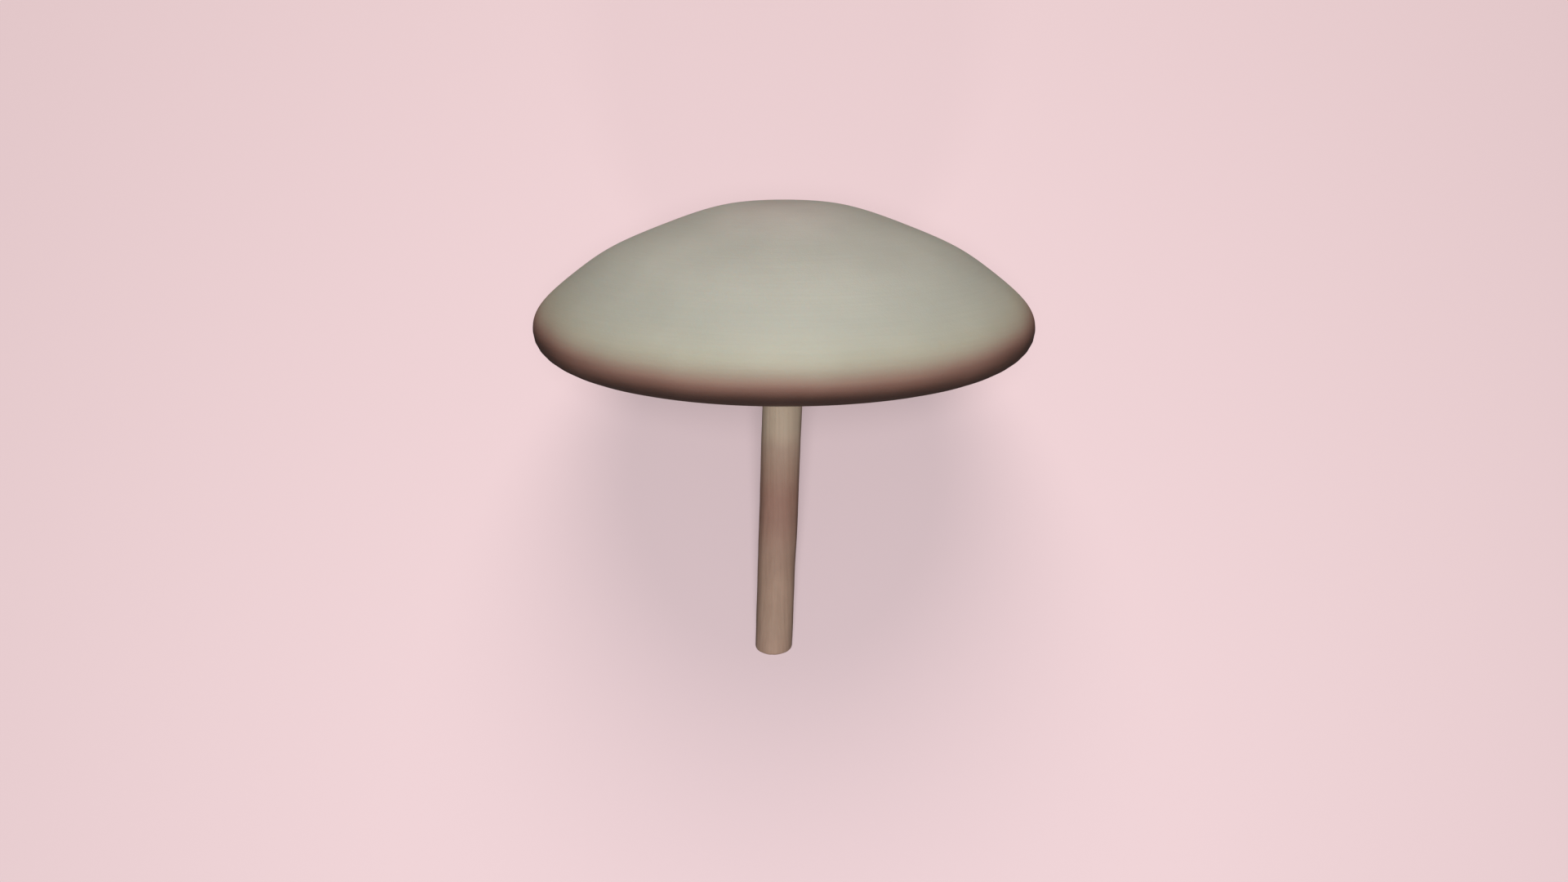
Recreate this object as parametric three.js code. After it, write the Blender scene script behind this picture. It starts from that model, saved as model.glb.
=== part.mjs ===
// King oyster mushroom: one picked fruit body, a broad domed cap on a thin stem.
// It lies on its side, on the cap's margin and the edge of the stem's cut end.
//
// The fruit body is drawn standing: its axis is Z, the cap's widest ring is at z = 0,
// and the side that it will lie on faces +Y. layDown() then tips it over.

import * as THREE from "three";

// Driving dimensions, in millimetres.
const capRadius = 55;
const crownHeight = 26.4; // top of the cap above its widest ring
const marginDepth = 8.7; // bottom of the rolled margin below the widest ring
const marginRoll = 13; // from the widest ring in to the lowest line of the margin
const gillCount = 48;
const gillArch = 5; // how far the gills' edges arch up above the bottom of the margin
const gillDepth = 4.5; // from the gills' edges up into the gaps, under the arch
const gillFoot = 18; // where the gills that run down the stem end, below the widest ring
const stemRadius = 4.6;
const stemTaper = 0.2; // how much thinner the stem is at its cut end
const stemLength = 79; // cut end below the widest ring
const cutEdgeRadius = 0.8;
const stemLean = 2.5; // cut end's offset towards -X
const stemBow = 3.4; // cut end's offset towards -Y, away from the side it lies on
const settled = 0.8; // how far its soft flesh is pressed flat where it lies

// The dome: a low crown, a straight flank, a soft shoulder, then the rolled margin. Places
// are shares of capRadius and crownHeight and slopes are in degrees. A pull is how far a
// curve keeps the direction that its end has, as a share of capRadius.
const crownPull = 0.186;
const flank = { out: 0.473, up: 0.817, slope: 20.8, pullAbove: 0.231, pullBelow: 0.217 };
const shoulder = { out: 0.844, up: 0.415, slope: 37.1, pullAbove: 0.151, pullBelow: 0.155 };
const margin = { pullAbove: 0.066, pullBelow: 0.116, pullFoot: 0.061 };

// How closely the underside follows its corners, where 0 would cut straight across them:
// the arch beside the margin, then the gills' edges and the gaps beside the stem.
const archHug = 0.5;
const edgeHug = 0.45;
const gapHug = 0.85;

// How finely the curves are cut into facets.
const stepsPerCurve = 6;
const stemRings = 10;
const cutEdgeSteps = 3;

/** A curve of the outline from start to end, with the pull that each end has along it. */
function blend(start, startPull, end, endPull) {
  const control = [start.clone().add(startPull), end.clone().sub(endPull)];
  return new THREE.CubicBezierCurve(start, ...control, end);
}

/** A pull along a direction that is given in degrees below straight outwards. */
function pull(degrees, share) {
  const angle = THREE.MathUtils.degToRad(degrees);
  return new THREE.Vector2(Math.cos(angle), -Math.sin(angle)).multiplyScalar(share * capRadius);
}

/** Half of the dome's section, from the crown to the widest ring. */
function domeCurves(widest) {
  const crown = new THREE.Vector2(0, crownHeight);
  const onFlank = new THREE.Vector2(flank.out * capRadius, flank.up * crownHeight);
  const onShoulder = new THREE.Vector2(shoulder.out * capRadius, shoulder.up * crownHeight);
  const intoFlank = pull(flank.slope, flank.pullAbove);
  const outOfFlank = pull(flank.slope, flank.pullBelow);
  const intoShoulder = pull(shoulder.slope, shoulder.pullAbove);
  const outOfShoulder = pull(shoulder.slope, shoulder.pullBelow);
  return [
    blend(crown, pull(0, crownPull), onFlank, intoFlank),
    blend(onFlank, outOfFlank, onShoulder, intoShoulder),
    blend(onShoulder, outOfShoulder, widest, pull(90, margin.pullAbove)),
  ];
}

/** Half of the underside's section: the margin's roll, an arch of some height, the collar. */
function undersideCurves(widest, collar, archHeight, hug) {
  const marginFoot = new THREE.Vector2(capRadius - marginRoll, -marginDepth);
  const arch = new THREE.Vector2((marginFoot.x + collar.x) / 2, archHeight - marginDepth);
  const inwards = (share) => new THREE.Vector2(share * (collar.x - arch.x), 0);
  const downwards = (share) => new THREE.Vector2(0, share * (collar.y - arch.y));
  return [
    blend(widest, pull(90, margin.pullBelow), marginFoot, pull(180, margin.pullFoot)),
    blend(marginFoot, pull(180, margin.pullFoot), arch, inwards(archHug)),
    blend(arch, inwards(hug), collar, downwards(hug)),
  ];
}

/** The stem's section below the gills, with its cut end, whose edge is rounded. */
function stemPoints(collar) {
  const endTop = new THREE.Vector2(stemRadius - stemTaper, cutEdgeRadius - stemLength);
  const points = [];
  for (let ring = 1; ring <= stemRings; ring++) {
    points.push(collar.clone().lerp(endTop, ring / stemRings));
  }
  for (let step = 1; step <= cutEdgeSteps; step++) {
    const turn = ((Math.PI / 2) * step) / cutEdgeSteps;
    const inwards = cutEdgeRadius * (1 - Math.cos(turn));
    const downwards = cutEdgeRadius * Math.sin(turn);
    points.push(new THREE.Vector2(endTop.x - inwards, endTop.y - downwards));
  }
  points.push(new THREE.Vector2(0, -stemLength));
  return points;
}

/** Half of the fruit body's section, from the middle of the cut end up to the crown. */
function section(archHeight, hug) {
  const widest = new THREE.Vector2(capRadius, 0);
  const collar = new THREE.Vector2(stemRadius, -gillFoot);
  const curves = [...domeCurves(widest), ...undersideCurves(widest, collar, archHeight, hug)];
  const capPoints = curves.flatMap((curve) => curve.getPoints(stepsPerCurve).slice(0, -1));
  return [...capPoints, collar, ...stemPoints(collar)].reverse();
}

/**
 * The fruit body turned about Z. Its columns of vertices run along a gill's edge and along
 * the gap beside it by turns, and the middle of a facet is on its +Y side.
 */
function turnedBody() {
  const alongEdge = section(gillArch, edgeHug);
  const alongGap = section(gillArch + gillDepth, gapHug);
  const sides = 2 * gillCount;
  const geometry = new THREE.LatheGeometry(alongEdge, sides, Math.PI / sides);
  const position = geometry.getAttribute("position");
  for (let side = 1; side < sides; side += 2) {
    const angle = ((side + 0.5) / sides) * 2 * Math.PI;
    alongGap.forEach((point, row) => {
      const vertex = side * alongGap.length + row;
      position.setXYZ(vertex, point.x * Math.sin(angle), point.y, point.x * Math.cos(angle));
    });
  }
  geometry.rotateX(Math.PI / 2); // LatheGeometry turns about Y
  return geometry;
}

/** Shifts a point of the stem to where its leaning, slightly bowed centre line runs. */
function leanStem(point) {
  const share = Math.max(0, (-point.z - marginDepth) / (stemLength - marginDepth));
  point.x -= stemLean * share;
  point.y -= stemBow * share ** 2;
}

/** Moves every vertex of a geometry. */
function reshape(geometry, move) {
  const position = geometry.getAttribute("position");
  const point = new THREE.Vector3();
  for (let i = 0; i < position.count; i++) {
    point.fromBufferAttribute(position, i);
    move(point);
    position.setXYZ(i, point.x, point.y, point.z);
  }
  geometry.computeVertexNormals();
}

/** Straight up, seen from the standing body, once that is tipped over by an angle about X. */
function upAfter(tip) {
  return new THREE.Vector3(0, Math.sin(tip), Math.cos(tip));
}

function lowest(points, up) {
  return Math.min(...points.map((point) => point.dot(up)));
}

/** The tip about X at which the cap and the stem's cut end touch one level surface. */
function restingTip(points) {
  const ofCap = points.filter((point) => point.z > -gillFoot);
  const ofStem = points.filter((point) => point.z <= -gillFoot);
  let tooFar = -Math.PI / 2;
  let tooLittle = 0;
  for (let halving = 0; halving < 50; halving++) {
    const tip = (tooFar + tooLittle) / 2;
    const up = upAfter(tip);
    if (lowest(ofCap, up) < lowest(ofStem, up)) tooFar = tip;
    else tooLittle = tip;
  }
  return (tooFar + tooLittle) / 2;
}

/**
 * Tips the mesh over to rest, presses it flat where it touches the surface, and puts the
 * middle of its footprint at the origin.
 */
function layDown(mesh) {
  const points = [];
  reshape(mesh.geometry, (point) => points.push(point.clone()));
  const tip = restingTip(points);
  const up = upAfter(tip);
  const surface = lowest(points, up) + settled;
  reshape(mesh.geometry, (point) => {
    const below = Math.max(0, surface - point.dot(up));
    point.addScaledVector(up, below);
  });
  mesh.rotation.x = tip;
  const middle = new THREE.Box3().setFromObject(mesh, true).getCenter(new THREE.Vector3());
  mesh.position.set(-middle.x, -middle.y, -surface);
}

const flesh = new THREE.MeshStandardMaterial({
  color: new THREE.Color(0.73, 0.71, 0.64),
  roughness: 0.62,
  metalness: 0,
});

const mushroom = new THREE.Mesh(turnedBody(), flesh);
mushroom.name = "mushroom";
reshape(mushroom.geometry, leanStem);
layDown(mushroom);

const fruitBody = new THREE.Group();
fruitBody.add(mushroom);

export default fruitBody;
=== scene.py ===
import math
import random

import bpy
import numpy as np
from mathutils import Euler, Matrix, Vector
from mathutils.geometry import interpolate_bezier


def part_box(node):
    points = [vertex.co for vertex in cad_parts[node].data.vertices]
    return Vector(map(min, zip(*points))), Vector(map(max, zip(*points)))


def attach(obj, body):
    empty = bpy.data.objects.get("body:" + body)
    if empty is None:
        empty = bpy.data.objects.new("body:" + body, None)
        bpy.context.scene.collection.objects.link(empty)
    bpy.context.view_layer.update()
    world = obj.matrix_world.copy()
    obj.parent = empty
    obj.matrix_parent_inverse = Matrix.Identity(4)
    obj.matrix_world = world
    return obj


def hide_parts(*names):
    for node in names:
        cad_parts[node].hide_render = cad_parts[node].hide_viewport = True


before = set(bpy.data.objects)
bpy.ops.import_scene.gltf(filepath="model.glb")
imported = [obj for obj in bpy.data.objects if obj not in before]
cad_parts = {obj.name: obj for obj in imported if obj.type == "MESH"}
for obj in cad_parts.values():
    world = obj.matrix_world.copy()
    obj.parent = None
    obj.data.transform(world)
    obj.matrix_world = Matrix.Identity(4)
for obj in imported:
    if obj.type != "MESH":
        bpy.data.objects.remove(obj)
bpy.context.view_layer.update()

# A king oyster mushroom lying on its side. It is modelled standing, with its axis along Z
# and the cap's widest ring at z = 0, and is then tipped over onto its margin and stem.
mm = 0.001
tolerance = 0.01 * mm


# Small helpers

def makeActive(piece):
    bpy.ops.object.select_all(action="DESELECT")
    piece.select_set(True)
    bpy.context.view_layer.objects.active = piece


def applyModifiers(piece):
    makeActive(piece)
    for modifier in list(piece.modifiers):
        bpy.ops.object.modifier_apply(modifier=modifier.name)


def selectVertices(piece, test):
    # picks vertices by their place, and leaves the piece in edit mode
    bpy.ops.object.mode_set(mode="EDIT")
    bpy.ops.mesh.select_mode(type="VERT")
    bpy.ops.mesh.select_all(action="DESELECT")
    bpy.ops.object.mode_set(mode="OBJECT")
    for vertex in piece.data.vertices:
        vertex.select = test(vertex.co)
    bpy.ops.object.mode_set(mode="EDIT")


def selectFaces(piece, test):
    # the same for faces, by the place of their middles
    bpy.ops.object.mode_set(mode="EDIT")
    bpy.ops.mesh.select_mode(type="FACE")
    bpy.ops.mesh.select_all(action="DESELECT")
    bpy.ops.object.mode_set(mode="OBJECT")
    for face in piece.data.polygons:
        face.select = test(face.center)
    bpy.ops.object.mode_set(mode="EDIT")


def flatDistance(place):
    return math.hypot(place.x, place.y)


def addDisplace(piece, name, size, strength, direction, group="", stretch=None):
    # cloudy unevenness, with lumps of about that size
    clouds = bpy.data.textures.new(name, "CLOUDS")
    clouds.noise_scale = size
    clouds.noise_depth = 1
    displace = piece.modifiers.new(name, "DISPLACE")
    displace.texture = clouds
    displace.strength = strength
    displace.mid_level = 0.5
    displace.direction = direction
    displace.vertex_group = group
    if stretch:
        displace.texture_coords = "OBJECT"
        displace.texture_coords_object = stretch


# The body: cap and stem in one skin, without the gills

bodyShape = {
    "capRadius": 55 * mm,
    "crownHeight": 26.4 * mm,      # above the widest ring
    "marginDepth": 8.7 * mm,       # bottom of the rolled margin below the widest ring
    "marginRoll": 13 * mm,         # from the widest ring in to the margin's lowest line
    "gillArch": 5 * mm,            # the gills' edges above the bottom of the margin
    "gillDepth": 4.5 * mm,         # from the gills' edges up to the flesh
    "gillFoot": 18 * mm,           # where the gills end on the stem
    "stemRadius": 4.6 * mm,
    "stemTaper": 0.2 * mm,
    "stemLength": 79 * mm,         # cut end below the widest ring
    "cutEdge": 0.8 * mm,
    "stemLean": 2.5 * mm,          # cut end's offset towards -X
    "stemBow": 3.4 * mm,           # cut end's offset towards -Y
    "sides": 192,
    "domeSteps": 14,               # rings for each of the dome's three curves
    "rollSteps": 10,
    "undersideSteps": 12,
    "stemRings": 44,
    "cutEdgeSteps": 4,
    "cutFaceRings": 6,
    "smoothAngle": 40,             # degrees, above which an edge is shaded sharp
}

# Shallow unevenness: flutes and dents down the stem, and fibres on the cut face.
stemSurface = {
    "flutes": {"size": 1.6 * mm, "depth": 0.18 * mm, "stretch": 14},
    "dents": {"size": 9 * mm, "depth": 0.2 * mm},
    "cutFibres": {"size": 0.8 * mm, "depth": 0.25 * mm},
    "starts": -12.6 * mm,          # the heights where the stem's starts and is full
    "full": -27 * mm,
    "rimFade": 3,                  # how steeply the fibres rise from the cut's rim inwards
}

# How the outline bends: places are shares of capRadius and crownHeight, slopes are in
# degrees, and pulls are shares of capRadius that a curve keeps its end's direction for.
outlineBends = {
    "crownPull": 0.186,
    "flank": {"out": 0.473, "up": 0.817, "slope": 20.8, "above": 0.231, "below": 0.217},
    "shoulder": {"out": 0.844, "up": 0.415, "slope": 37.1, "above": 0.151, "below": 0.155},
    "margin": {"above": 0.066, "below": 0.116, "foot": 0.061},
    "archHug": 0.5,                # how closely the underside follows its corners
    "edgeHug": 0.45,
    "gapHug": 0.85,
}


def pull(degrees, share):
    # along a direction that is given in degrees below straight outwards
    angle = math.radians(degrees)
    length = share * bodyShape["capRadius"]
    return Vector((math.cos(angle) * length, 0, -math.sin(angle) * length))


def blend(start, startPull, end, endPull, steps):
    return interpolate_bezier(start, start + startPull, end - endPull, end, steps + 1)


def domeOutline():
    # from the widest ring up to the crown
    shape, bends = bodyShape, outlineBends
    crown = Vector((0, 0, shape["crownHeight"]))
    widest = Vector((shape["capRadius"], 0, 0))
    flank, shoulder = bends["flank"], bends["shoulder"]
    steps = shape["domeSteps"]
    onFlank, onShoulder = (
        Vector((bend["out"] * shape["capRadius"], 0, bend["up"] * shape["crownHeight"]))
        for bend in (flank, shoulder))
    low = blend(onShoulder, pull(shoulder["slope"], shoulder["below"]),
                widest, pull(90, bends["margin"]["above"]), steps)
    middle = blend(onFlank, pull(flank["slope"], flank["below"]),
                   onShoulder, pull(shoulder["slope"], shoulder["above"]), steps)
    high = blend(crown, pull(0, bends["crownPull"]),
                 onFlank, pull(flank["slope"], flank["above"]), steps)
    return low[::-1] + middle[::-1][1:] + high[::-1][1:]


def undersideOutline(archHeight, hug):
    # from the margin's lowest line in to the stem, by way of the arch
    shape = bodyShape
    marginFoot = Vector((shape["capRadius"] - shape["marginRoll"], 0, -shape["marginDepth"]))
    collar = Vector((shape["stemRadius"], 0, -shape["gillFoot"]))
    arch = Vector(((marginFoot.x + collar.x) / 2, 0, archHeight - shape["marginDepth"]))
    inwards = Vector((collar.x - arch.x, 0, 0))
    downwards = Vector((0, 0, collar.z - arch.z))
    steps = shape["undersideSteps"]
    outer = blend(marginFoot, pull(180, outlineBends["margin"]["foot"]),
                  arch, inwards * outlineBends["archHug"], steps)
    inner = blend(arch, inwards * hug, collar, downwards * hug, steps)
    return outer + inner[1:]


def gapOutline():
    return undersideOutline(bodyShape["gillArch"] + bodyShape["gillDepth"], outlineBends["gapHug"])


def edgeOutline():
    return undersideOutline(bodyShape["gillArch"], outlineBends["edgeHug"])


def rollOutline():
    # from the widest ring down and in to the margin's lowest line
    shape, margin = bodyShape, outlineBends["margin"]
    widest = Vector((shape["capRadius"], 0, 0))
    marginFoot = Vector((shape["capRadius"] - shape["marginRoll"], 0, -shape["marginDepth"]))
    return blend(widest, pull(90, margin["below"]),
                 marginFoot, pull(180, margin["foot"]), shape["rollSteps"])


def stemOutline():
    # from the middle of the cut end to the gills' foot
    shape = bodyShape
    endRadius = shape["stemRadius"] - shape["stemTaper"]
    faceRadius = endRadius - shape["cutEdge"]
    end = -shape["stemLength"]
    points = []
    for ring in range(1, shape["cutFaceRings"] + 1):
        points.append(Vector((faceRadius * ring / shape["cutFaceRings"], 0, end)))
    for step in range(1, shape["cutEdgeSteps"] + 1):
        turn = math.pi / 2 * step / shape["cutEdgeSteps"]
        out = faceRadius + shape["cutEdge"] * math.sin(turn)
        up = end + shape["cutEdge"] * (1 - math.cos(turn))
        points.append(Vector((out, 0, up)))
    low = points[-1]
    collar = Vector((shape["stemRadius"], 0, -shape["gillFoot"]))
    for ring in range(1, shape["stemRings"] + 1):
        points.append(low.lerp(collar, ring / shape["stemRings"]))
    return points


def stemMiddle(height):
    # the leaning, slightly bowed centre line of the stem
    shape = bodyShape
    share = max(0, (-height - shape["marginDepth"]) / (shape["stemLength"] - shape["marginDepth"]))
    return Vector((-shape["stemLean"] * share, -shape["stemBow"] * share ** 2, height))


def growBody():
    # one ring at a time, from the cut end up the stem and round the cap to the crown
    rings = stemOutline() + gapOutline()[::-1][1:] + rollOutline()[::-1][1:] + domeOutline()[1:-1]
    start = rings[0]
    bpy.ops.object.select_all(action="DESELECT")
    bpy.ops.mesh.primitive_circle_add(vertices=bodyShape["sides"], radius=start.x,
                                      fill_type="TRIFAN", location=stemMiddle(start.z))
    body = bpy.context.object
    body.name = "kingOysterMushroom"
    bpy.ops.object.transform_apply()
    bpy.ops.object.mode_set(mode="EDIT")
    bpy.ops.mesh.select_mode(type="FACE")
    bpy.ops.mesh.select_all(action="SELECT")
    for last, ring in zip(rings, rings[1:]):
        middle = stemMiddle(ring.z)
        step = middle - stemMiddle(last.z)
        bpy.ops.mesh.extrude_region_move(TRANSFORM_OT_translate={"value": step})
        grow = ring.x / last.x
        bpy.ops.transform.resize(value=(grow, grow, 1), center_override=middle)
    rise = bodyShape["crownHeight"] - rings[-1].z
    bpy.ops.mesh.extrude_region_move(TRANSFORM_OT_translate={"value": (0, 0, rise)})
    bpy.ops.mesh.merge(type="CENTER")
    bpy.ops.mesh.select_all(action="SELECT")
    bpy.ops.mesh.normals_make_consistent(inside=False)
    bpy.ops.object.mode_set(mode="OBJECT")
    return body


def roughenStem(body):
    stem = body.vertex_groups.new(name="stem")
    cut = body.vertex_groups.new(name="cutFace")
    starts, full = stemSurface["starts"], stemSurface["full"]
    endRadius = bodyShape["stemRadius"] - bodyShape["stemTaper"]
    foot = stemMiddle(-bodyShape["stemLength"])
    onCut = foot.z + tolerance
    for vertex in body.data.vertices:
        share = (vertex.co.z - starts) / (full - starts)
        if share > 0:
            stem.add([vertex.index], min(1, share), "REPLACE")
        if vertex.co.z < onCut:
            inside = 1 - (vertex.co - foot).length / endRadius
            cut.add([vertex.index], min(1, stemSurface["rimFade"] * inside), "REPLACE")
    flutes, dents, fibres = (stemSurface[name] for name in ("flutes", "dents", "cutFibres"))
    # the flutes' pattern is drawn out along the stem by an empty that is tall in Z
    stretched = bpy.data.objects.new("stretched", None)
    stretched.scale = (1, 1, flutes["stretch"])
    bpy.context.scene.collection.objects.link(stretched)
    addDisplace(body, "flutes", flutes["size"], flutes["depth"], "NORMAL", "stem", stretched)
    addDisplace(body, "dents", dents["size"], dents["depth"], "NORMAL", "stem")
    addDisplace(body, "cutFibres", fibres["size"], fibres["depth"], "Z", "cutFace")
    bpy.context.view_layer.update()
    applyModifiers(body)
    bpy.data.objects.remove(stretched)


# The gills: thin blades that hang from the flesh and run a little way down the stem

gillShape = {
    "thickness": 0.6 * mm,
    "footThickness": 0.34 * mm,    # where they crowd together on the stem
    "edgeShare": 0.45,             # a gill's edge is this much as thick as its root
    "bury": 1.2 * mm,              # how far the root reaches into the flesh
    "taperSteps": 3,               # columns over which a gill rises out of the flesh
    "tipDepth": 0.25,              # a gill's depth at its two ends, as a share of the whole
    "roomyRadius": 13.8 * mm,      # beyond this the gills have their whole thickness
    "rows": 3,
    "wave": 1.3 * mm,              # how far the gills sway, and how long their waves are
    "waveSize": {"X": 9 * mm, "Y": 9.9 * mm},
    "depthLoss": 0.07,             # the shallowest copies
    "turnJitter": 0.4,             # degrees
    "seed": 11,
    # how many there are, the turn of the first in spacings, and how many steps of the
    # underside they reach in from the margin
    "tiers": {
        "longGill": {"count": 48, "offset": 0.0, "reach": 24},
        "middleGill": {"count": 48, "offset": 0.5, "reach": 14},
        "shortGill": {"count": 96, "offset": 0.5, "reach": 7},
    },
}


def gillColumns(reach):
    # the root and the edge of each column of a gill, from the margin inwards
    gap, edge = gapOutline(), edgeOutline()
    columns = []
    for step in range(reach + 1):
        before, after = gap[max(0, step - 1)], gap[min(len(gap) - 1, step + 1)]
        along = (after - before).normalized()
        intoFlesh = Vector((along.z, 0, -along.x))
        root = gap[step] + intoFlesh * gillShape["bury"]
        risen = min(1, step / gillShape["taperSteps"], (reach - step) / gillShape["taperSteps"])
        depth = gillShape["tipDepth"] + (1 - gillShape["tipDepth"]) * risen
        columns.append((root, root.lerp(edge[step], depth)))
    return columns


def shapeGill(name, reach):
    columns = gillColumns(reach)
    root, edge = columns[0]
    bpy.ops.object.select_all(action="DESELECT")
    bpy.ops.mesh.primitive_plane_add(size=(root - edge).length, location=(root + edge) / 2,
                                     rotation=(math.pi / 2, 0, 0))
    gill = bpy.context.object
    gill.name = name
    bpy.ops.object.transform_apply()
    # only the plane's inner side is kept, and stood on the first column
    middle = (root + edge) / 2
    selectVertices(gill, lambda place: place.x > middle.x)
    bpy.ops.mesh.delete(type="VERT")
    bpy.ops.mesh.select_all(action="SELECT")
    bpy.ops.transform.translate(value=(middle.x - gill.data.vertices[0].co.x, 0, 0))
    bpy.ops.mesh.subdivide(number_cuts=gillShape["rows"] - 1)
    upright = Vector((0, 0, 1))
    length = (root - edge).length
    for root, edge in columns:
        lean = root - edge
        place = (root + edge) / 2
        if place != middle:
            bpy.ops.mesh.extrude_region_move(TRANSFORM_OT_translate={"value": place - middle})
        turn = math.atan2(lean.x, lean.z) - math.atan2(upright.x, upright.z)
        grow = lean.length / length
        bpy.ops.transform.resize(value=(grow, 1, grow), center_override=place)
        bpy.ops.transform.rotate(value=-turn, orient_axis="Y", center_override=place)
        middle, upright, length = place, lean, lean.length
    bpy.ops.object.mode_set(mode="OBJECT")
    return gill


def thickenGill(gill, reach):
    # thick at the root, thin at the edge and where the gills crowd together on the stem
    weights = gill.vertex_groups.new(name="flesh")
    columns = gillColumns(reach)
    thinnest = gillShape["footThickness"] / gillShape["thickness"]
    crowded, roomy = bodyShape["stemRadius"], gillShape["roomyRadius"]
    for vertex in gill.data.vertices:
        root, edge = min(columns, key=lambda column: distanceToColumn(vertex.co, column))
        down = (vertex.co - root).length / (edge - root).length
        room = min(1, max(0, (edge.x - crowded) / (roomy - crowded)))
        weight = (1 - (1 - gillShape["edgeShare"]) * down) * (thinnest + (1 - thinnest) * room)
        weights.add([vertex.index], weight, "REPLACE")
    solidify = gill.modifiers.new("flesh", "SOLIDIFY")
    solidify.thickness = gillShape["thickness"]
    solidify.offset = 0
    solidify.vertex_group = "flesh"
    applyModifiers(gill)
    gill.vertex_groups.clear()


def distanceToColumn(place, column):
    root, edge = column
    along = (edge - root).normalized()
    return (place - root - along * (place - root).dot(along)).length


def growGills():
    # each kind is shaped once and copied round the cap, no copy quite like the next
    chance = random.Random(gillShape["seed"])
    gills = []
    for name, tier in gillShape["tiers"].items():
        pattern = shapeGill(name, tier["reach"])
        thickenGill(pattern, tier["reach"])
        spacing = 360 / tier["count"]
        for number in range(tier["count"]):
            jitter = chance.uniform(-1, 1) * gillShape["turnJitter"]
            shallow = 1 - chance.random() * gillShape["depthLoss"]
            makeActive(pattern)
            bpy.ops.object.duplicate()
            gill = bpy.context.object
            gill.rotation_euler.z = math.radians((number + tier["offset"]) * spacing + jitter)
            gill.scale.z = shallow
            gills.append(gill)
        bpy.data.objects.remove(pattern)
    bpy.ops.object.select_all(action="DESELECT")
    for gill in gills:
        gill.select_set(True)
    bpy.context.view_layer.objects.active = gills[0]
    bpy.ops.object.transform_apply()
    bpy.ops.object.join()
    joined = bpy.context.object
    joined.name = "gills"
    leanWithStem(joined)
    for axis, size in gillShape["waveSize"].items():
        addDisplace(joined, "wave" + axis, size, gillShape["wave"], axis)
    applyModifiers(joined)
    return joined


def leanWithStem(piece):
    # what hangs below the margin follows the stem's leaning centre line
    for vertex in piece.data.vertices:
        middle = stemMiddle(vertex.co.z)
        vertex.co.x += middle.x
        vertex.co.y += middle.y


def joinGills(body, gills):
    # one closed skin, by a union
    union = body.modifiers.new("gills", "BOOLEAN")
    union.operation = "UNION"
    union.solver = "MANIFOLD"
    union.object = gills
    applyModifiers(body)
    bpy.data.objects.remove(gills)


# Lying down

restShape = {
    "settled": 0.8 * mm,           # how far the soft flesh is pressed flat where it lies
    "halvings": 40,
}


def lowestAfter(places, tip):
    return (places[:, 1] * math.sin(tip) + places[:, 2] * math.cos(tip)).min()


def restingTip(body):
    # the tip about X at which the cap and the stem's cut end touch one level surface
    places = np.empty(3 * len(body.data.vertices), np.float32)
    body.data.vertices.foreach_get("co", places)
    places = places.reshape(-1, 3)
    ofCap = places[places[:, 2] > -bodyShape["gillFoot"]]
    ofStem = places[places[:, 2] <= -bodyShape["gillFoot"]]
    tooFar, tooLittle = -math.pi / 2, 0
    for halving in range(restShape["halvings"]):
        tip = (tooFar + tooLittle) / 2
        if lowestAfter(ofCap, tip) < lowestAfter(ofStem, tip):
            tooFar = tip
        else:
            tooLittle = tip
    return tip


def layDown(body):
    # tips it over, flattens it where it touches the floor, and returns where the standing
    # mushroom's own frame has gone
    tip = restingTip(body)
    body.rotation_euler.x = tip
    makeActive(body)
    bpy.ops.object.transform_apply()
    settled = restShape["settled"]
    lowest = min(vertex.co.z for vertex in body.data.vertices)
    selectVertices(body, lambda place: place.z < lowest + settled)
    bpy.ops.transform.resize(value=(1, 1, 0), center_override=(0, 0, lowest + settled))
    bpy.ops.object.mode_set(mode="OBJECT")
    cadLow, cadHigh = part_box("mushroom")
    corners = [Vector(corner) for corner in body.bound_box]
    middle = sum(corners, Vector()) / len(corners)
    shift = (cadLow + cadHigh) / 2 - middle
    shift.z = cadLow.z - lowest - settled
    body.location = shift
    bpy.ops.object.transform_apply()
    return Matrix.LocRotScale(shift, Euler((tip, 0, 0)), None)


# Materials. They read the place in the standing mushroom's frame, so that colours follow
# the height on the cap and the length of the stem.

def newMaterial(name):
    material = bpy.data.materials.new(name)
    material.use_nodes = True
    material.node_tree.nodes.clear()
    return material


def addNode(tree, kind, inputs=None, **settings):
    node = tree.nodes.new("ShaderNode" + kind)
    for name, value in settings.items():
        setattr(node, name, value)
    for key, value in (inputs or {}).items():
        if isinstance(value, bpy.types.NodeSocket):
            tree.links.new(value, node.inputs[key])
        else:
            node.inputs[key].default_value = value
    return node


def calculate(tree, operation, first, second=0.0, third=0.0):
    return addNode(tree, "Math", {0: first, 1: second, 2: third}, operation=operation).outputs[0]


def remap(tree, value, low, high, outLow=0.0, outHigh=1.0, smooth=False):
    node = addNode(tree, "MapRange", {"Value": value, "From Min": low, "From Max": high,
                                      "To Min": outLow, "To Max": outHigh})
    node.interpolation_type = "SMOOTHSTEP" if smooth else "LINEAR"
    return node.outputs["Result"]


def addRamp(tree, value, stops):
    # colours at their own values, such as heights, instead of shares of the ramp
    low, high = min(stops), max(stops)
    node = addNode(tree, "ValToRGB", {"Fac": remap(tree, value, low, high)})
    ramp = node.color_ramp
    ramp.interpolation = "LINEAR"
    while len(ramp.elements) < len(stops):
        ramp.elements.new(0.5)
    for element, (place, colour) in zip(ramp.elements, sorted(stops.items())):
        element.position = (place - low) / (high - low)
        element.color = (*colour, 1)
    return node.outputs["Color"]


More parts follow.
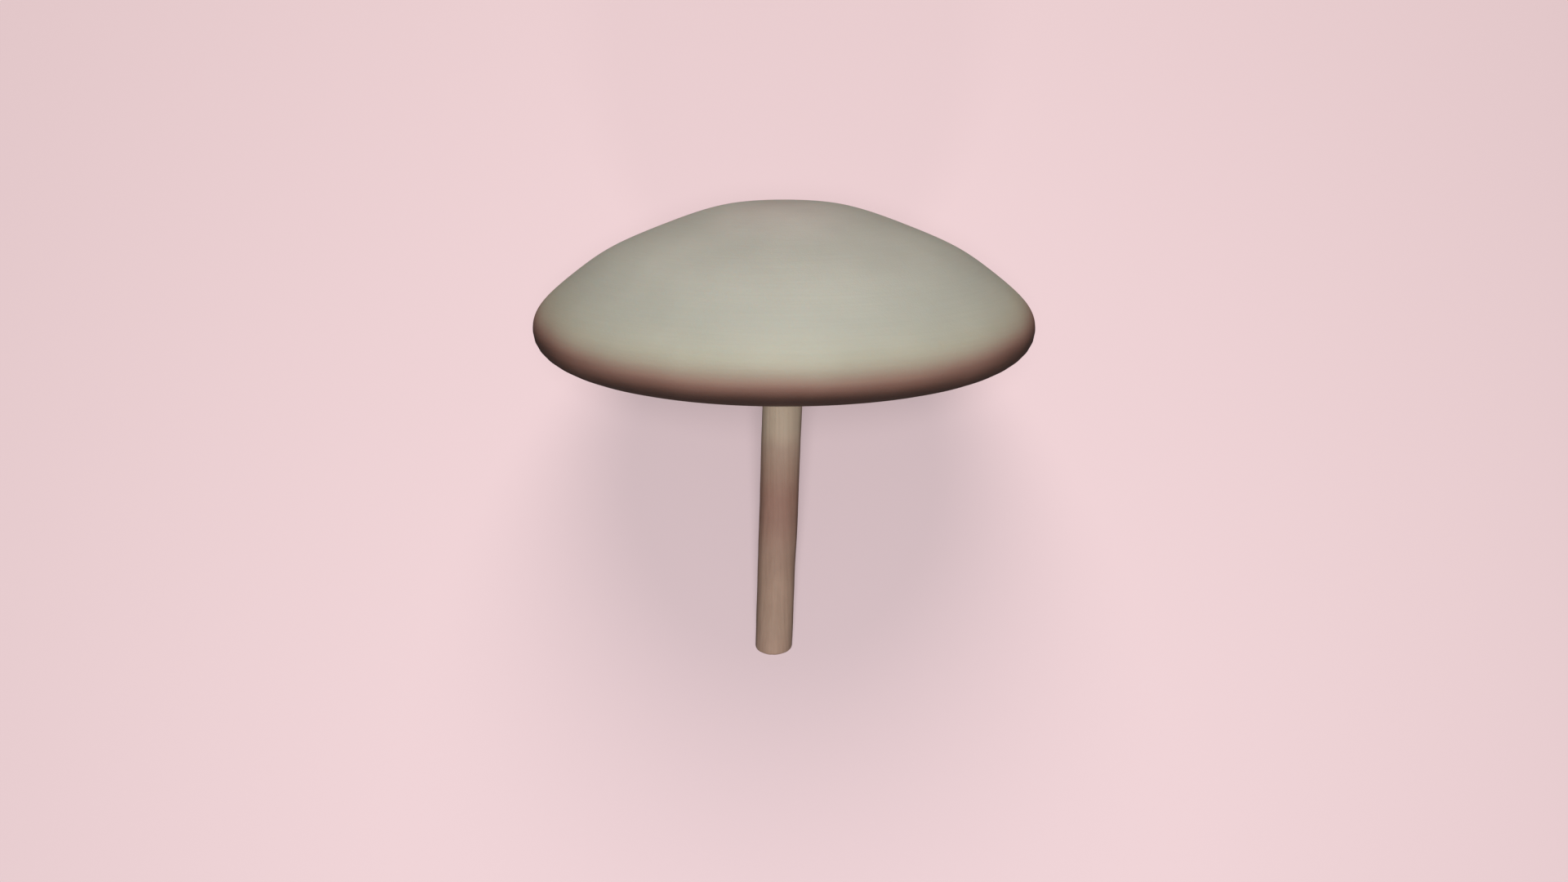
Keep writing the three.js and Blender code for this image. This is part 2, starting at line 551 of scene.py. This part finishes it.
def addNoise(tree, place, size=1.0, detail=2.0, roughness=0.5):
    node = addNode(tree, "TexNoise", {"Vector": place, "Scale": 1 / size, "Detail": detail,
                                      "Roughness": roughness})
    return node.outputs["Fac"]


def heightOf(tree, place):
    return addNode(tree, "SeparateXYZ", {0: place}).outputs["Z"]


def standingPlace(tree, standing):
    place = addNode(tree, "TexCoord").outputs["Object"]
    node = addNode(tree, "Mapping", {"Vector": place}, vector_type="TEXTURE")
    node.inputs["Location"].default_value = standing.to_translation()
    node.inputs["Rotation"].default_value = standing.to_euler()
    return node.outputs["Vector"]


def scaled(tree, place, factors):
    node = addNode(tree, "VectorMath", {0: place, 1: factors}, operation="MULTIPLY")
    return node.outputs["Vector"]


def fromAxis(tree, place):
    # which way a place lies from the axis, and how far
    flat = scaled(tree, place, (1, 1, 0))
    direction = addNode(tree, "VectorMath", {0: flat}, operation="NORMALIZE")
    radius = addNode(tree, "VectorMath", {0: flat}, operation="LENGTH")
    return direction.outputs["Vector"], radius.outputs["Value"]


def drawnOut(tree, direction, around, distance, size):
    # a place for a noise of so many lumps round the axis, each of some size outwards
    lumps = scaled(tree, direction, (around / math.tau,) * 3)
    ahead = addNode(tree, "CombineXYZ", {"Z": calculate(tree, "DIVIDE", distance, size)})
    node = addNode(tree, "VectorMath", {0: lumps, 1: ahead.outputs[0]}, operation="ADD")
    return node.outputs["Vector"]


def vary(tree, noise, low, high):
    # most of a noise lies between 0.3 and 0.7, and that is spread over the range
    return remap(tree, noise, 0.3, 0.7, low, high)


def shadeBy(tree, colour, noise, amount):
    # lighter and darker by that share; a colour mix has its factor, A and B at 0, 6 and 7
    shade = vary(tree, noise, 1 - amount, 1 + amount)
    node = addNode(tree, "Mix", {0: 1.0, 6: colour, 7: shade}, data_type="RGBA",
                   blend_type="MULTIPLY")
    return node.outputs[2]


def finishMaterial(tree, colour, roughness, bumps, look):
    # bumps are heights with their depth in metres, from the coarsest to the finest
    normal = None
    for height, depth in bumps:
        node = addNode(tree, "Bump", {"Height": height, "Distance": depth})
        if normal:
            tree.links.new(normal, node.inputs["Normal"])
        normal = node.outputs["Normal"]
    shader = addNode(tree, "BsdfPrincipled", {"Base Color": colour, "Roughness": roughness,
                                              "Normal": normal})
    for name, value in look.items():
        shader.inputs[name].default_value = value
    addNode(tree, "OutputMaterial", {"Surface": shader.outputs["BSDF"]})


fleshLook = {
    "IOR": 1.4,
    "Specular IOR Level": 0.35,
    "Subsurface Weight": 0.25,
    "Subsurface Radius": (1.0, 0.45, 0.28),
    "Subsurface Scale": 3 * mm,
}

capPaint = {
    # by the height above the widest ring: pale beside the gills, dark brown under the margin, rosy
    # brown up to the widest ring, sage grey round the cap and taupe on the crown.
    # The dark brown under the margin and the rosy brown above it are partly the cap's own brown
    # margin and partly painted shade where the roll turns away from the light
    "heights": {
        -8.7 * mm: (0.36, 0.25, 0.185),
        -8.2 * mm: (0.24, 0.15, 0.115),
        -7.5 * mm: (0.09, 0.053, 0.043),
        -6.0 * mm: (0.075, 0.043, 0.036),
        -5.0 * mm: (0.115, 0.063, 0.05),
        -4.0 * mm: (0.20, 0.108, 0.085),
        -3.0 * mm: (0.275, 0.157, 0.125),
        -2.0 * mm: (0.345, 0.225, 0.177),
        -1.0 * mm: (0.378, 0.29, 0.228),
        0.0 * mm: (0.40, 0.35, 0.275),
        1.0 * mm: (0.415, 0.388, 0.308),
        2.0 * mm: (0.422, 0.415, 0.332),
        4.0 * mm: (0.427, 0.438, 0.366),
        8.0 * mm: (0.428, 0.45, 0.391),
        12.0 * mm: (0.44, 0.46, 0.403),
        20.0 * mm: (0.44, 0.455, 0.406),
        26.4 * mm: (0.475, 0.455, 0.417),
    },
    "wander": 1.2 * mm,            # how much the bands wander up and down
    "wanderSize": 14 * mm,
    "sideShadeRise": 6 * mm,            # how much higher the dark brown climbs at the +X and -X sides: painted shade where the flanks turn from the light
    "riseFades": -8 * mm,          # the height at which that rise has died away
    "mottleSize": 16 * mm,
    "mottle": 0.035,
    "ringLumps": 22,               # faint broken rings: lumps round the cap, and their width
    "ringWidth": 0.7 * mm,
    "ringLight": 0.015,
    "ringDepth": 0.016 * mm,
    "ringFade": 5 * mm,            # how near the middle of the crown they fade out
    "grainSize": 0.5 * mm,
    "grainDepth": 0.035 * mm,
    "roughness": (0.46, 0.58),
}


def paintCap(material, standing):
    tree = material.node_tree
    place = standingPlace(tree, standing)
    height = heightOf(tree, place)
    direction, radius = fromAxis(tree, place)
    wander = calculate(tree, "SUBTRACT", addNoise(tree, place, capPaint["wanderSize"]), 0.5)
    band = calculate(tree, "MULTIPLY_ADD", wander, capPaint["wander"], height)
    sideways = addNode(tree, "SeparateXYZ", {0: direction}).outputs["X"]
    sideways = calculate(tree, "ABSOLUTE", sideways)
    # the dark brown is raised towards the +X and -X flanks: painted shade where they turn from the
    # light
    rise = remap(tree, height, capPaint["riseFades"], 0, 0, capPaint["sideShadeRise"], smooth=True)
    rise = calculate(tree, "MULTIPLY", rise, calculate(tree, "POWER", sideways, 3))
    # the ramp's dark brown under the margin is partly painted shade
    colour = addRamp(tree, calculate(tree, "SUBTRACT", band, rise), capPaint["heights"])

    mottle = addNoise(tree, place, capPaint["mottleSize"], 3)
    colour = shadeBy(tree, colour, mottle, capPaint["mottle"])
    # the way from the crown to the margin grows with the radius and as the height falls
    outwards = calculate(tree, "SUBTRACT", radius, height)
    ringPlace = drawnOut(tree, direction, capPaint["ringLumps"], outwards, capPaint["ringWidth"])
    rings = calculate(tree, "SUBTRACT", addNoise(tree, ringPlace), 0.5)
    fade = remap(tree, radius, 0, capPaint["ringFade"], smooth=True)
    rings = calculate(tree, "MULTIPLY_ADD", rings, fade, 0.5)
    colour = shadeBy(tree, colour, rings, capPaint["ringLight"])

    grain = addNoise(tree, place, capPaint["grainSize"])
    roughness = vary(tree, mottle, *capPaint["roughness"])
    bumps = [(rings, capPaint["ringDepth"]), (grain, capPaint["grainDepth"])]
    finishMaterial(tree, colour, roughness, bumps, fleshLook)


gillPaint = {
    "heights": {
        -18 * mm: (0.73, 0.61, 0.475),
        -12 * mm: (0.73, 0.61, 0.48),
        -6 * mm: (0.71, 0.59, 0.46),
        3 * mm: (0.54, 0.41, 0.31),    # up in the gaps, darker: painted shade between the blades
    },
    "streaks": 700,                # round the cap
    "streakLength": 8 * mm,
    "streakLight": 0.09,
    "grainSize": 0.4 * mm,
    "grainDepth": 0.03 * mm,
    "roughness": (0.6, 0.7),
}


def paintGills(material, standing):
    tree = material.node_tree
    place = standingPlace(tree, standing)
    # darker up in the gaps between the blades: painted shade
    colour = addRamp(tree, heightOf(tree, place), gillPaint["heights"])
    direction, radius = fromAxis(tree, place)
    streakPlace = drawnOut(tree, direction, gillPaint["streaks"], radius, gillPaint["streakLength"])
    streaks = addNoise(tree, streakPlace)
    colour = shadeBy(tree, colour, streaks, gillPaint["streakLight"])
    grain = addNoise(tree, place, gillPaint["grainSize"])
    roughness = vary(tree, streaks, *gillPaint["roughness"])
    finishMaterial(tree, colour, roughness, [(grain, gillPaint["grainDepth"])], fleshLook)


stemPaint = {
    # by the height below the widest ring, from the cut end up to the gills. The pale top under the
    # gills is partly the stem's own paler top and partly painted light where the cap shades it; the
    # darker, redder middle is partly its own tone and partly painted shade
    "heights": {
        -79 * mm: (0.475, 0.325, 0.252),
        -72 * mm: (0.47, 0.328, 0.25),
        -62 * mm: (0.455, 0.312, 0.238),
        -54 * mm: (0.412, 0.272, 0.21),
        -46 * mm: (0.36, 0.214, 0.168),
        -40 * mm: (0.36, 0.21, 0.164),
        -34 * mm: (0.4, 0.265, 0.203),
        -29 * mm: (0.448, 0.322, 0.25),
        -24 * mm: (0.53, 0.425, 0.325),
        -19 * mm: (0.65, 0.53, 0.408),
    },
    "fibreSize": 0.55 * mm,
    "fibreStretch": 30,            # how many times longer than thick
    "fibreLight": 0.05,
    "fibreDepth": 0.08 * mm,
    "mottleSize": 6 * mm,
    "mottle": 0.05,
    "grainSize": 0.4 * mm,
    "grainDepth": 0.03 * mm,
    "roughness": (0.5, 0.64),
}
stemLook = {**fleshLook, "Subsurface Weight": 0.1}  # its skin is tougher and lets less light in


def paintStem(material, standing):
    tree = material.node_tree
    place = standingPlace(tree, standing)
    # the colour by height holds painted light at the stem's top and painted shade in its middle
    colour = addRamp(tree, heightOf(tree, place), stemPaint["heights"])
    squeezed = scaled(tree, place, (1, 1, 1 / stemPaint["fibreStretch"]))
    fibres = addNoise(tree, squeezed, stemPaint["fibreSize"], 3, 0.55)
    colour = shadeBy(tree, colour, fibres, stemPaint["fibreLight"])
    mottle = addNoise(tree, place, stemPaint["mottleSize"])
    colour = shadeBy(tree, colour, mottle, stemPaint["mottle"])
    grain = addNoise(tree, place, stemPaint["grainSize"])
    roughness = vary(tree, fibres, *stemPaint["roughness"])
    bumps = [(fibres, stemPaint["fibreDepth"]), (grain, stemPaint["grainDepth"])]
    finishMaterial(tree, colour, roughness, bumps, stemLook)


cutPaint = {
    "radii": {
        0.0 * mm: (0.56, 0.46, 0.36),
        2.6 * mm: (0.52, 0.41, 0.31),
        3.6 * mm: (0.40, 0.28, 0.21),
        4.4 * mm: (0.28, 0.17, 0.13),
    },
    "fibreSize": 0.45 * mm,
    "fibreLight": 0.14,
    "fibreDepth": 0.12 * mm,
    "roughness": (0.6, 0.75),
    "reach": 0.3 * mm,             # how far up from the cut end it shows
}


def paintCut(material, standing):
    tree = material.node_tree
    place = standingPlace(tree, standing)
    foot = stemMiddle(-bodyShape["stemLength"])
    fromMiddle = addNode(tree, "VectorMath", {0: place, 1: foot}, operation="DISTANCE")
    colour = addRamp(tree, fromMiddle.outputs["Value"], cutPaint["radii"])
    fibres = addNoise(tree, place, cutPaint["fibreSize"], 3, 0.6)
    colour = shadeBy(tree, colour, fibres, cutPaint["fibreLight"])
    roughness = vary(tree, fibres, *cutPaint["roughness"])
    finishMaterial(tree, colour, roughness, [(fibres, cutPaint["fibreDepth"])], fleshLook)


def assignByPlace(body, slotNumber, test):
    makeActive(body)
    body.active_material_index = slotNumber
    selectFaces(body, test)
    bpy.ops.object.material_slot_assign()
    bpy.ops.object.mode_set(mode="OBJECT")


# The studio

studio = {
    "floorSize": 30.0,
    "floorColour": (0.6, 0.48, 0.505),
    "floorGlow": (0.3, 0.237, 0.25),  # keeps its far parts and the shadows pale
    "cameraElevation": 16.1,       # degrees above the cap's widest ring, on the -Y side
    "cameraDistance": 246.8 * mm,
    "cameraAim": -28 * mm,         # the place on the mushroom's axis that it looks at
    "fieldOfView": 45,             # degrees, up and down
    "imageShape": 16 / 9,
    "sky": 0.085,                  # as light; as a backdrop it looks paler
    "backdrop": 0.36,
    "skyColour": (1, 0.8, 0.77),
    # where a light stands, as the standing mushroom sees it: degrees round to the right of
    # the camera's side, and degrees above the widest ring
    "lights": {
        "keyLight": {"side": 0, "elevation": 10, "distance": 0.42, "size": 0.12, "power": 0.94,
                     "colour": (1, 1, 1)},
        "crownLight": {"side": 0, "elevation": 75, "distance": 1.0, "size": 0.8, "power": 6.4,
                       "colour": (1, 0.88, 0.82)},
        "gillLight": {"side": 0, "elevation": -38, "distance": 1.0, "size": 0.2, "power": 2.0,
                      "colour": (1, 0.93, 0.88)},
    },
}


def addCamera(standing):
    turn = math.radians(studio["cameraElevation"])
    back = Vector((0, -math.cos(turn), math.sin(turn))) * studio["cameraDistance"]
    place = Vector((0, 0, studio["cameraAim"])) + back
    camera = bpy.data.objects.new("camera", bpy.data.cameras.new("camera"))
    bpy.context.scene.collection.objects.link(camera)
    tilt = Euler((math.pi / 2 - turn, 0, 0))
    camera.matrix_world = standing @ Matrix.LocRotScale(place, tilt, None)
    halfWidth = math.tan(math.radians(studio["fieldOfView"] / 2)) * studio["imageShape"]
    camera.data.lens = camera.data.sensor_width / 2 / halfWidth
    camera.data.clip_start = 5 * mm
    bpy.context.scene.camera = camera


def addAreaLight(name, standing, choices):
    side, height = math.radians(choices["side"]), math.radians(choices["elevation"])
    back = Vector((math.sin(side) * math.cos(height), -math.cos(side) * math.cos(height),
                   math.sin(height)))
    light = bpy.data.objects.new(name, bpy.data.lights.new(name, "AREA"))
    light.data.shape = "DISK"
    light.data.size = choices["size"]
    light.data.energy = choices["power"]
    bpy.context.scene.collection.objects.link(light)
    light.data.color = choices["colour"]
    light.visible_camera = False
    place = standing @ (back * choices["distance"])
    light.location = place
    light.rotation_euler = (standing.to_translation() - place).to_track_quat("-Z", "Y").to_euler()


def setStudio(standing):
    bpy.ops.object.select_all(action="DESELECT")
    bpy.ops.mesh.primitive_plane_add(size=studio["floorSize"])
    floor = bpy.context.object
    floor.name = "floor"
    floor.visible_diffuse = False  # it throws nothing back up, so the shading stays crisp
    floor.visible_glossy = False
    material = newMaterial("paleFloor")
    tree = material.node_tree
    shader = addNode(tree, "BsdfPrincipled", {
        "Base Color": (*studio["floorColour"], 1), "Roughness": 0.9, "Specular IOR Level": 0.0,
        "Emission Color": (*studio["floorGlow"], 1), "Emission Strength": 1.0})
    addNode(tree, "OutputMaterial", {"Surface": shader.outputs["BSDF"]})
    floor.data.materials.append(material)

    for name, light in studio["lights"].items():
        addAreaLight(name, standing, light)

    scene = bpy.context.scene
    scene.world = bpy.data.worlds.new("softSky")
    scene.world.use_nodes = True
    tree = scene.world.node_tree
    background = tree.nodes["Background"]
    background.inputs["Color"].default_value = (*studio["skyColour"], 1)
    seen = addNode(tree, "LightPath").outputs["Is Camera Ray"]
    strength = remap(tree, seen, 0, 1, studio["sky"], studio["backdrop"])
    tree.links.new(strength, background.inputs["Strength"])
    scene.view_settings.view_transform = "Standard"
    addCamera(standing)


# Making it

print("growing the body")
mushroom = growBody()
roughenStem(mushroom)

print("growing the gills")
slots = [newMaterial(name) for name in ("capSkin", "gillFlesh", "stemSkin", "cutFlesh")]
capSlot, gillSlot, stemSlot, cutSlot = range(len(slots))
gills = growGills()
for piece in (mushroom, gills):
    for material in slots:
        piece.data.materials.append(material)
assignByPlace(gills, gillSlot, lambda place: True)
marginFoot = bodyShape["capRadius"] - bodyShape["marginRoll"]
assignByPlace(mushroom, gillSlot,
              lambda place: flatDistance(place) < marginFoot and place.z < bodyShape["gillDepth"])
assignByPlace(mushroom, stemSlot, lambda place: place.z < -bodyShape["gillFoot"])
assignByPlace(mushroom, cutSlot,
              lambda place: place.z < cutPaint["reach"] - bodyShape["stemLength"])
joinGills(mushroom, gills)
makeActive(mushroom)
bpy.ops.object.shade_smooth_by_angle(angle=math.radians(bodyShape["smoothAngle"]))

print("laying it down")
standing = layDown(mushroom)

print("painting it")
paintCap(slots[capSlot], standing)
paintGills(slots[gillSlot], standing)
paintStem(slots[stemSlot], standing)
paintCut(slots[cutSlot], standing)
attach(mushroom, "root")
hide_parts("mushroom")

print("setting the studio")
setStudio(standing)
